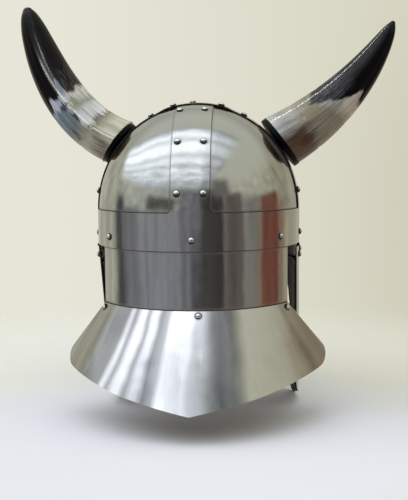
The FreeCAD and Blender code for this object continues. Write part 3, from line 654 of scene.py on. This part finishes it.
def horn_stuff(name, paint):
    """Polished horn: paint gives its colour from the straight-cylinder place, fibres and streaks."""
    made, tree = new_material(name)
    grown = add(tree, "Attribute", attribute_name="grown", out="Vector")
    # Fibres run along the horn and are a fraction of a millimetre wide, drawn at about one millimetre;
    # streaks of colour are some four millimetres wide and five centimetres long
    fibre_place = add(tree, "VectorMath", (grown, (900, 900, 45)), operation="MULTIPLY")
    fibres = add(tree, "TexNoise", {"Vector": fibre_place, "Scale": 1.0, "Detail": 3.0})
    streak_place = add(tree, "VectorMath", (grown, (260, 260, 22)), operation="MULTIPLY")
    streaks = add(tree, "TexNoise", {"Vector": streak_place, "Scale": 1.0, "Detail": 4.0})
    colour = paint(tree, grown, fibres, streaks)
    gloss = add(tree, "MapRange", (streaks, 0.3, 0.7, 0.15, 0.21))
    ripples = add(tree, "TexNoise", {"Vector": streak_place, "Scale": 0.5, "Detail": 0.0})
    relief = add(tree, "Bump", {"Height": ripples, "Strength": 1.0, "Distance": 0.00002})
    body = add(tree, "BsdfPrincipled", {"Base Color": colour, "Roughness": gloss, "IOR": 1.54,
                                        "Specular IOR Level": 0.15, "Normal": relief})
    add(tree, "OutputMaterial", {0: body}, out=None)
    return made


def patch(tree, under, shade, distance, height, along, up_side, long, wide, most):
    """Soft oval patch of colour, for stains and painted reflections alike: full at (along, up_side), gone at
    one oval of half-axes long and wide.
    """
    a = add(tree, "Math", (distance, along), operation="SUBTRACT")
    a = add(tree, "Math", (a, long), operation="DIVIDE")
    b = add(tree, "Math", (height, up_side), operation="SUBTRACT")
    b = add(tree, "Math", (b, wide), operation="DIVIDE")
    span = add(tree, "CombineXYZ", (a, b, 0.0))
    reach = add(tree, "VectorMath", {0: span}, operation="LENGTH", out="Value")
    share = add(tree, "MapRange", (reach, 1.2, 0.4, 0.0, most), **smooth)
    return add(tree, "MixRGB", (share, under, linear(shade)))


def stained(tree, grown, fibres, streaks, radius, upper, lower, change, border):
    """Shared ground of both horns: one ramp of colour along each side and a ragged border with the black.

    Each ramp's places are tenths of a metre; border gives them over the height, 0 low and 1 on top.
    Returns the colour, the distance and height both pushed about by the streaks, and the black's share.
    """
    axes = add(tree, "SeparateXYZ", {0: grown}, out=None)
    height = add(tree, "Math", (axes[1], 1 / radius), operation="MULTIPLY")
    blur = add(tree, "TexNoise", {"Vector": grown, "Scale": 70.0, "Detail": 3.0})
    distance = axes[2]
    rise = height
    for noise, far, wide in ((blur, 0.012, 0.35), (streaks, 0.016, 0.20), (fibres, 0.010, 0.05)):
        shift = add(tree, "Math", (noise, 0.5), operation="SUBTRACT")
        distance = add(tree, "Math", (shift, far, distance), operation="MULTIPLY_ADD")
        rise = add(tree, "Math", (shift, wide, rise), operation="MULTIPLY_ADD")
    along = add(tree, "Math", (distance, 10.0), operation="MULTIPLY")
    high = add(tree, "ValToRGB", {0: along}, stops=[(place, linear(shade)) for place, shade in upper])
    low = add(tree, "ValToRGB", {0: along}, stops=[(place, linear(shade)) for place, shade in lower])
    share = add(tree, "MapRange", (rise, change[0], change[1]), **smooth)
    colour = add(tree, "MixRGB", (share, low, high))
    lined = add(tree, "Math", (fibres, streaks), operation="ADD")
    lined = add(tree, "MapRange", (lined, 0.75, 1.20, 0.64, 1.14))
    colour = add(tree, "VectorMath", {0: colour, 3: lined}, operation="SCALE")
    place = add(tree, "Math", (height, 0.5, 0.5), operation="MULTIPLY_ADD")
    start = add(tree, "ValToRGB", {0: place}, stops=[(at, (far, far, far, 1)) for at, far in border])
    past = add(tree, "Math", (along, start), operation="SUBTRACT")
    black = add(tree, "MapRange", (past, -0.02, 0.03), **smooth)
    return colour, distance, rise, black


def speckled(tree, dark, grown, streaks, height, distance, shade, low, high, gone):
    """Pale flecks left in the black: on the heights from low to high, thinning out toward gone."""
    fleck_place = add(tree, "VectorMath", (grown, (560, 560, 85)), operation="MULTIPLY")
    flecks = add(tree, "TexNoise", {"Vector": fleck_place, "Scale": 1.0, "Detail": 5.0, "Roughness": 0.75})
    share = add(tree, "MapRange", (flecks, 0.44, 0.76, 0.0, 0.85))
    over = add(tree, "MapRange", (height, low, high), **smooth)
    near = add(tree, "MapRange", (distance, gone, gone - 0.025), **smooth)
    for factor in (over, near):
        share = add(tree, "Math", (share, factor), operation="MULTIPLY")
    return add(tree, "MixRGB", (share, dark, linear(shade)))


def left_paint(tree, grown, fibres, streaks):
    """Cream root with one growth line, white above and slate below whose blue is partly painted reflection,
    and black past a ragged border.
    """
    colour, distance, rise, black = stained(
        tree, grown, fibres, streaks, 0.0242,
        ((0.00, "#EFEBD2"), (0.12, "#E8E4C8"), (0.20, "#C4C0A4"), (0.25, "#98967F"), (0.28, "#D2D1C2"),
         (0.31, "#FBFBF4"), (0.45, "#F3F5EF"), (0.54, "#B6B9A2"), (0.60, "#DADACB"), (0.66, "#F2F0E6"),
         (1.0, "#E8E4D8")),
        ((0.00, "#BFB4A8"), (0.08, "#94897A"), (0.16, "#ADA590"), (0.22, "#C6C2AC"), (0.32, "#ACAB98"),
         (0.40, "#858D8E"), (0.52, "#8A98A2"), (0.60, "#8E9BA8"), (0.66, "#CDD3DE"), (1.0, "#BCC3CE")),
        (-0.22, 0.14),
        ((0.0, 0.62), (0.16, 0.65), (0.225, 0.76), (0.29, 0.78), (0.35, 0.73), (0.44, 0.71), (0.51, 0.74),
         (0.59, 0.92), (0.65, 0.88), (0.69, 0.71), (0.80, 0.70), (0.95, 0.73), (1.0, 0.74)))
    # The blue-grey patches are painted reflection laid over the horn; the olive one is its own colour
    for shade, along, up_side, long, wide, most in (
        ("#323C4A", 0.047, -0.04, 0.008, 0.10, 0.95), ("#46515F", 0.061, -0.16, 0.004, 0.26, 0.9),
        ("#3A3E40", 0.034, -0.60, 0.006, 0.10, 0.75), ("#D6DAE6", 0.068, -0.48, 0.009, 0.20, 1.0),
        ("#A7A984", 0.057, 0.36, 0.007, 0.25, 0.7), ("#8795A2", 0.082, 0.20, 0.013, 0.22, 1.0),
    ):
        colour = patch(tree, colour, shade, distance, rise, along, up_side, long, wide, most)
    dark = add(tree, "MixRGB", (streaks, linear("#060506"), linear("#15100D")))
    dark = speckled(tree, dark, grown, streaks, rise, distance, "#8E857A", 0.22, 0.42, 0.112)
    return add(tree, "MixRGB", (black, colour, dark))


def right_paint(tree, grown, fibres, streaks):
    """Grey and red-brown root, olive middle, a cream wedge low down, and black reaching back on top."""
    colour, distance, rise, black = stained(
        tree, grown, fibres, streaks, 0.0288,
        ((0.00, "#D0D0CC"), (0.10, "#B8B6AE"), (0.20, "#C2BDB0"), (0.30, "#B5AB95"), (0.42, "#9E9580"),
         (0.50, "#A9A18A"), (0.58, "#C4C2B8"), (1.0, "#AFA794")),
        ((0.00, "#735A4C"), (0.10, "#6F5445"), (0.20, "#715B4E"), (0.28, "#93877A"), (0.42, "#A59C87"),
         (0.55, "#A0988A"), (0.63, "#BDB6A6"), (0.70, "#DED2C5"), (0.85, "#DCD0C2"), (1.0, "#C4BBB0")),
        (-0.12, 0.36),
        ((0.0, 0.80), (0.075, 0.78), (0.14, 0.82), (0.19, 0.93), (0.275, 0.90), (0.35, 0.80), (0.425, 0.72),
         (0.50, 0.66), (0.575, 0.63), (0.65, 0.59), (0.725, 0.50), (0.80, 0.42), (0.875, 0.44),
         (0.95, 0.50), (1.0, 0.52)))
    for shade, along, up_side, long, wide, most in (
        ("#583631", 0.022, -0.42, 0.010, 0.22, 0.85), ("#A49D74", 0.042, 0.33, 0.012, 0.20, 0.6),
    ):
        colour = patch(tree, colour, shade, distance, rise, along, up_side, long, wide, most)
    dark = add(tree, "MixRGB", (streaks, linear("#060607"), linear("#151113")))
    dark = speckled(tree, dark, grown, streaks, rise, distance, "#8B8690", -0.15, 0.15, 0.100)
    return add(tree, "MixRGB", (black, colour, dark))


left_grid, left_grown = horn_grid(horn_shapes["left"])
right_grid, right_grown = horn_grid(horn_shapes["right"])
left_horn = put_grid("polished_left_horn", left_grid, "helmet", horn_stuff("polished_white_horn", left_paint),
                     close_across=True, ends=(0, -1), attribute=left_grown)
right_horn = put_grid("polished_right_horn", right_grid, "helmet",
                      horn_stuff("polished_grey_horn", right_paint),
                      close_across=True, ends=(0, -1), attribute=right_grown)
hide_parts("left_horn")
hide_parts("right_horn")
polished.objects.link(left_horn)
polished.objects.link(right_horn)
# The brushed plates show no sharp picture of the horns, only their shade
left_horn.visible_glossy = False
right_horn.visible_glossy = False


# Leather liner. A vegetable-tanned band riveted inside the brow with eight tongues sewn to it, which a
# lace draws together at the crown. Oiled brown leather with a fine grain.
def leather(name, pale, dark, shine=0.4):
    """Tanned leather: pores about a millimetre apart, creases, and darker where hands and hair rub."""
    made, tree = new_material(name)
    place = add(tree, "TexCoord", out="Object")
    pores = add(tree, "TexVoronoi", {"Vector": place, "Scale": 700.0}, out="Distance")
    mottle = add(tree, "TexNoise", {"Vector": place, "Scale": 35.0, "Detail": 5.0})
    shade = add(tree, "MixRGB", (mottle, linear(dark), linear(pale)))
    dull = add(tree, "MapRange", (mottle, 0.0, 1.0, 0.65, 0.5))
    relief = add(tree, "Bump", {"Height": pores, "Strength": 0.5, "Distance": 0.0004})
    creases = add(tree, "Bump", {"Height": mottle, "Strength": 0.4, "Distance": 0.001, "Normal": relief})
    body = add(tree, "BsdfPrincipled", {"Base Color": shade, "Roughness": dull, "Specular IOR Level": shine,
                                        "Normal": creases})
    add(tree, "OutputMaterial", {0: body}, out=None)
    return made


liner_leather = leather("oiled_liner_leather", "#8A6038", "#5B3A20")
liner_inset, leather_thickness, liner_low, liner_top, liner_crown = 0.0029, 0.0022, 0.0025, 0.030, 0.080
tongue_count, tongue_climb, slot_half = 8, 76, 0.0031
# The band's section is a rounded oblong: a circle pushed out toward its corners
around = np.linspace(0, 2 * np.pi, 28, endpoint=False)
out_share, up_share = (np.sign(wave) * np.abs(wave) ** 0.35 for wave in (np.cos(around), np.sin(around)))
depth = -(liner_inset + leather_thickness / 2) + out_share * leather_thickness / 2
height = (liner_low + liner_top) / 2 + up_share * (liner_top - liner_low) / 2
turn = np.linspace(0, 2 * np.pi, 360, endpoint=False)
ring_x = (half_width + depth)[None, :] * np.sin(turn)[:, None]
ring_y = (half_length + depth)[None, :] * -np.cos(turn)[:, None]
ring_z = np.broadcast_to(height[None, :], ring_x.shape)
liner_band = put_grid("leather_liner_band", np.stack([ring_x, ring_y, ring_z], -1), "helmet", liner_leather,
                      close_across=True, close_along=True)


def tongue(middle, outset):
    """One tongue: a strip climbing the inner dome, its half-angle set by straight slots, its end round."""
    rows, columns = 60, 25
    climb = np.radians(np.linspace(0, tongue_climb, rows))[:, None]
    a, b, c = half_width - liner_inset - outset, half_length - liner_inset - outset, liner_crown - outset
    radius = (a + b) / 2 * np.cos(climb)
    half = np.pi / tongue_count - np.arcsin(np.clip(slot_half / radius, 0, 0.35))
    end = np.clip((climb - climb[-1] + 0.16) / 0.16, 0, 1)
    half = half * np.sqrt(np.clip(1 - end ** 2, 0, 1)) + 0.001
    across = np.linspace(-1, 1, columns)[None, :]
    angle = middle + half * across
    puff = 0.0012 * (1 - across ** 2) * np.sin(climb * 2)
    x = (a - puff) * np.cos(climb) * np.sin(angle)
    y = (b - puff) * np.cos(climb) * np.cos(angle)
    z = liner_top - 0.0006 + (c - puff) * np.sin(climb) + 0 * angle
    return np.stack([x, y, z], -1)


for k in range(tongue_count):
    middle = 2 * math.pi * k / tongue_count
    shell = np.concatenate([tongue(middle, 0), tongue(middle, leather_thickness)[:, ::-1]], 1)
    piece = put_grid("leather_liner_tongue_%d" % (k + 1), shell, "helmet", liner_leather,
                     close_across=True, ends=(0, -1))
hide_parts("leather_liner")

# Crown lace. A round leather thong threaded through the tongue ends and drawn into a ring, its twist
# showing as a fine wave.
lace_leather = leather("thong_leather", "#6E4A2C", "#3F2917")
lace_ring, lace_radius = 0.023, 0.0015
low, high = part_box("crown_lace")
lace_height = (low[2] + high[2]) / 2
theta = np.linspace(0, 2 * np.pi, 240, endpoint=False)[:, None]
phi = np.linspace(0, 2 * np.pi, 12, endpoint=False)[None, :]
wander = lace_ring + 0.0004 * np.sin(8 * theta)
tube = (lace_radius * 0.92) * (1 + 0.04 * np.sin(60 * theta + phi))
lace_grid = np.stack([
    (wander + tube * np.cos(phi)) * np.cos(theta),
    (wander + tube * np.cos(phi)) * np.sin(theta),
    lace_height + 0.0003 * np.sin(8 * theta + 1.5) + tube * np.sin(phi),
], -1)
lace = put_grid("crown_lace_thong", lace_grid, "helmet", lace_leather, close_across=True, close_along=True)
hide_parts("crown_lace")

# Cheek linings. Soft brown-black leather glued inside each cheek plate, puffed a little between its edges and
# sewn down all round with a waxed thread; its near-black is partly painted shade of the cheek's inside.
shade_darkened_lining_leather = leather("soft_lining_leather", "#2A1D13", "#140E0A", 0.12)
thread, tree = new_material("waxed_thread")
place = add(tree, "TexCoord", out="Object")
twist = add(tree, "TexNoise", {"Vector": place, "Scale": 2500.0, "Detail": 2.0})
shade = add(tree, "MixRGB", (twist, linear("#6E5A40"), linear("#A08C68")))
body = add(tree, "BsdfPrincipled", {"Base Color": shade, "Roughness": 0.6})
add(tree, "OutputMaterial", {0: body}, out=None)
sheet, cheek_gap, lining_margin, lining_thickness = 0.0012, 0.0034, 0.0035, 0.002
leaf_height, barrel_radius, left_swing = 0.0155, 0.0015, math.radians(4.5)


def sewn(name, places, along, outward, body):
    """Row of stitches: at each place a short round-ended bar, bowed off the leather at its middle."""
    reach, radius = 0.0013, 0.0003
    t = np.linspace(-1, 1, 5)[:, None]
    phi = np.linspace(0, 2 * np.pi, 6, endpoint=False)[None, :]
    width = radius * np.sqrt(1.02 - t ** 2)
    bow = 0.0002 * (1 - t ** 2)
    across = np.cross(along, outward)
    bars = (places[:, None, None, :]
            + along[:, None, None, :] * (t * reach + 0 * phi)[None, ..., None]
            + outward[:, None, None, :] * (bow + width * np.sin(phi))[None, ..., None]
            + across[:, None, None, :] * (width * np.cos(phi))[None, ..., None])
    count = len(places)
    index = np.arange(count * 30).reshape(count, 5, 6)
    following = np.roll(index, -1, 2)
    quads = np.stack([index[:, :-1], index[:, 1:], following[:, 1:], following[:, :-1]], -1).reshape(-1, 4)
    caps = np.concatenate([index[:, 0], index[:, -1, ::-1]])
    return put_mesh(name, bars.reshape(-1, 3), quads.tolist() + caps.tolist(), body, thread)


for name, side in (("left", -1), ("right", 1)):
    # Outline from the top down: the rear edge runs straight to the jaw, the front one swells, hollows
    # and comes out again at the chin
    top, low = -leaf_height - lining_margin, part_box("right_cheek_lining")[0][2] + 0.0002
    rows, columns = 90, 30
    z = top + (low - top) * np.linspace(0, 1, rows) ** 0.8
    rear = smooth_through(
        np.array((low, -0.1605, -0.160, -0.157, -0.153, -0.150, -0.148, -0.145, -0.140, -0.136, -0.130, top)),
        (0.0270, 0.0244, 0.0226, 0.0119, -0.0024, -0.0132, -0.0200, -0.0243, -0.0270, -0.0274, -0.0274,
         -0.0274), z)
    front = smooth_through(
        np.array((low, -0.1605, -0.160, -0.157, -0.153, -0.148, -0.140, -0.120, -0.100, -0.080, -0.060,
                  -0.040, -0.030, top)),
        (0.0301, 0.0325, 0.0337, 0.0376, 0.0398, 0.0404, 0.0390, 0.0355, 0.0339, 0.0361, 0.0417, 0.0475,
         0.0484, 0.0484), z)
    share = (1 - np.cos(np.linspace(0, np.pi, columns))) / 2
    y = rear[:, None] + (front - rear)[:, None] * share
    # Thickness dies away over the last two millimetres at the edges, where the leather is pressed down
    down = np.minimum((top - z)[:, None], (z - low)[:, None])
    margin = np.clip(np.minimum(np.minimum(y - rear[:, None], front[:, None] - y), down) / 0.002, 0, 1)
    thickness = (lining_thickness - 0.0001) * (0.35 + 0.65 * np.sin(margin * np.pi / 2))
    quilt = 0.0002 * np.sin(y * 260) * np.sin(z[:, None] * 260) * margin
    x_outer = (half_width - sheet - 0.0002) * np.sqrt(1 - (y / (half_length - sheet)) ** 2)
    x_inner = x_outer - thickness + quilt - 0.0002 * margin
    height = np.broadcast_to(z[:, None], y.shape)
    outer = np.stack([side * x_outer, y, height], -1)
    inner = np.stack([side * x_inner, y, height], -1)
    shell = np.concatenate([outer, inner[:, ::-1]], 1)
    # Stitch line some five millimetres inside the outline, one stitch every four millimetres
    edge = [(k, 5) for k in range(4, rows - 6)] + [(rows - 7, c) for c in range(6, columns - 6)]
    edge += [(k, columns - 6) for k in range(rows - 7, 4, -1)]
    line = np.array([inner[r, c] for r, c in edge])
    steps = np.linalg.norm(np.diff(line, axis=0), axis=1)
    walked = np.concatenate([[0], np.cumsum(steps)])
    marks = np.arange(0.002, walked[-1], 0.004)
    places = np.stack([np.interp(marks, walked, line[:, i]) for i in range(3)], -1)
    ahead = np.stack([np.interp(marks + 0.001, walked, line[:, i]) for i in range(3)], -1) - places
    ahead = ahead / np.linalg.norm(ahead, axis=1)[:, None]
    inward = places * (-half_width ** -2, -half_length ** -2, 0)
    inward = inward / np.linalg.norm(inward, axis=1)[:, None]
    if name == "left":
        # The left plate is photographed swung in, about its hinge pin
        pin = np.array((-half_width + barrel_radius, 0, -cheek_gap / 2))
        c, n = math.cos(-left_swing), math.sin(-left_swing)
        turned = np.array(((c, 0, n), (0, 1, 0), (-n, 0, c)))
        shell = (shell - pin) @ turned.T + pin
        places = (places - pin) @ turned.T + pin
        ahead, inward = ahead @ turned.T, inward @ turned.T
    body = name + "_cheek"
    lining = put_grid(name + "_leather_lining", shell, body, shade_darkened_lining_leather, close_across=True, ends=(0, -1))
    stitches = sewn(name + "_lining_stitches", places, ahead, inward, body)
    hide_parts(name + "_cheek_lining")
